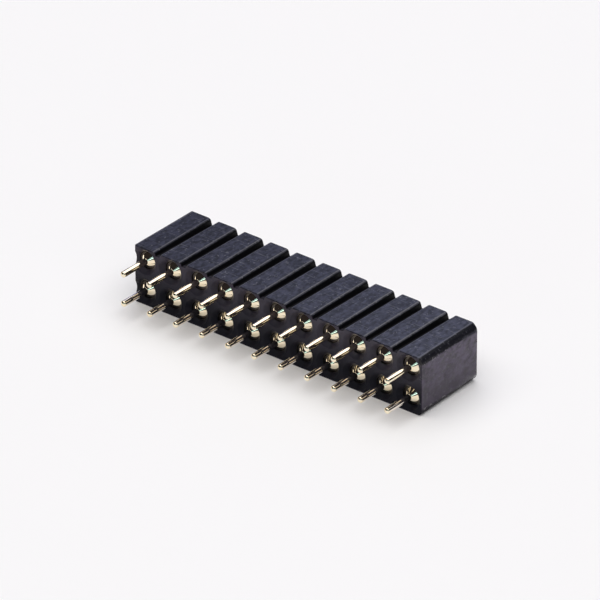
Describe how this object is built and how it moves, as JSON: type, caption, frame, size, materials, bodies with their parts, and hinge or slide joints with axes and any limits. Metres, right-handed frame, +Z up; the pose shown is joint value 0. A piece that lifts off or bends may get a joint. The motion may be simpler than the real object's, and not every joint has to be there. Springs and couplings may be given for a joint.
{
  "type": "double-row female pin header",
  "caption": "Straight double-row socket header in black moulded plastic with gold-plated turned sleeves, round solder tails and spring clips inside.",
  "frame": {"origin": "centre of the bottom of the box around the whole part, which lies on its lower long face", "axes": "+X along the rows, towards the moulded end with the rounded shoulders; +Y towards the mating face, so the solder tails point to -Y; +Z up, across the two rows"},
  "size_m": [0.0276, 0.0094, 0.0049],
  "materials": {
    "moulded_plastic": "fine satin moulded black plastic",
    "sleeve_metal": "polished pale gold plating",
    "clip_metal": "satin gold plating"
  },
  "bodies": {
    "root": {"housing": "moulded_plastic", "contact_a01": "sleeve_metal", "contact_a02": "sleeve_metal", "contact_a03": "sleeve_metal", "contact_a04": "sleeve_metal", "contact_a05": "sleeve_metal", "contact_a06": "sleeve_metal", "contact_a07": "sleeve_metal", "contact_a08": "sleeve_metal", "contact_a09": "sleeve_metal", "contact_a10": "sleeve_metal", "contact_a11": "sleeve_metal", "contact_b01": "sleeve_metal", "contact_b02": "sleeve_metal", "contact_b03": "sleeve_metal", "contact_b04": "sleeve_metal", "contact_b05": "sleeve_metal", "contact_b06": "sleeve_metal", "contact_b07": "sleeve_metal", "contact_b08": "sleeve_metal", "contact_b09": "sleeve_metal", "contact_b10": "sleeve_metal", "contact_b11": "sleeve_metal", "clip_a01": "clip_metal", "clip_a02": "clip_metal", "clip_a03": "clip_metal", "clip_a04": "clip_metal", "clip_a05": "clip_metal", "clip_a06": "clip_metal", "clip_a07": "clip_metal", "clip_a08": "clip_metal", "clip_a09": "clip_metal", "clip_a10": "clip_metal", "clip_a11": "clip_metal", "clip_b01": "clip_metal", "clip_b02": "clip_metal", "clip_b03": "clip_metal", "clip_b04": "clip_metal", "clip_b05": "clip_metal", "clip_b06": "clip_metal", "clip_b07": "clip_metal", "clip_b08": "clip_metal", "clip_b09": "clip_metal", "clip_b10": "clip_metal", "clip_b11": "clip_metal"}
  },
  "joints": []
}
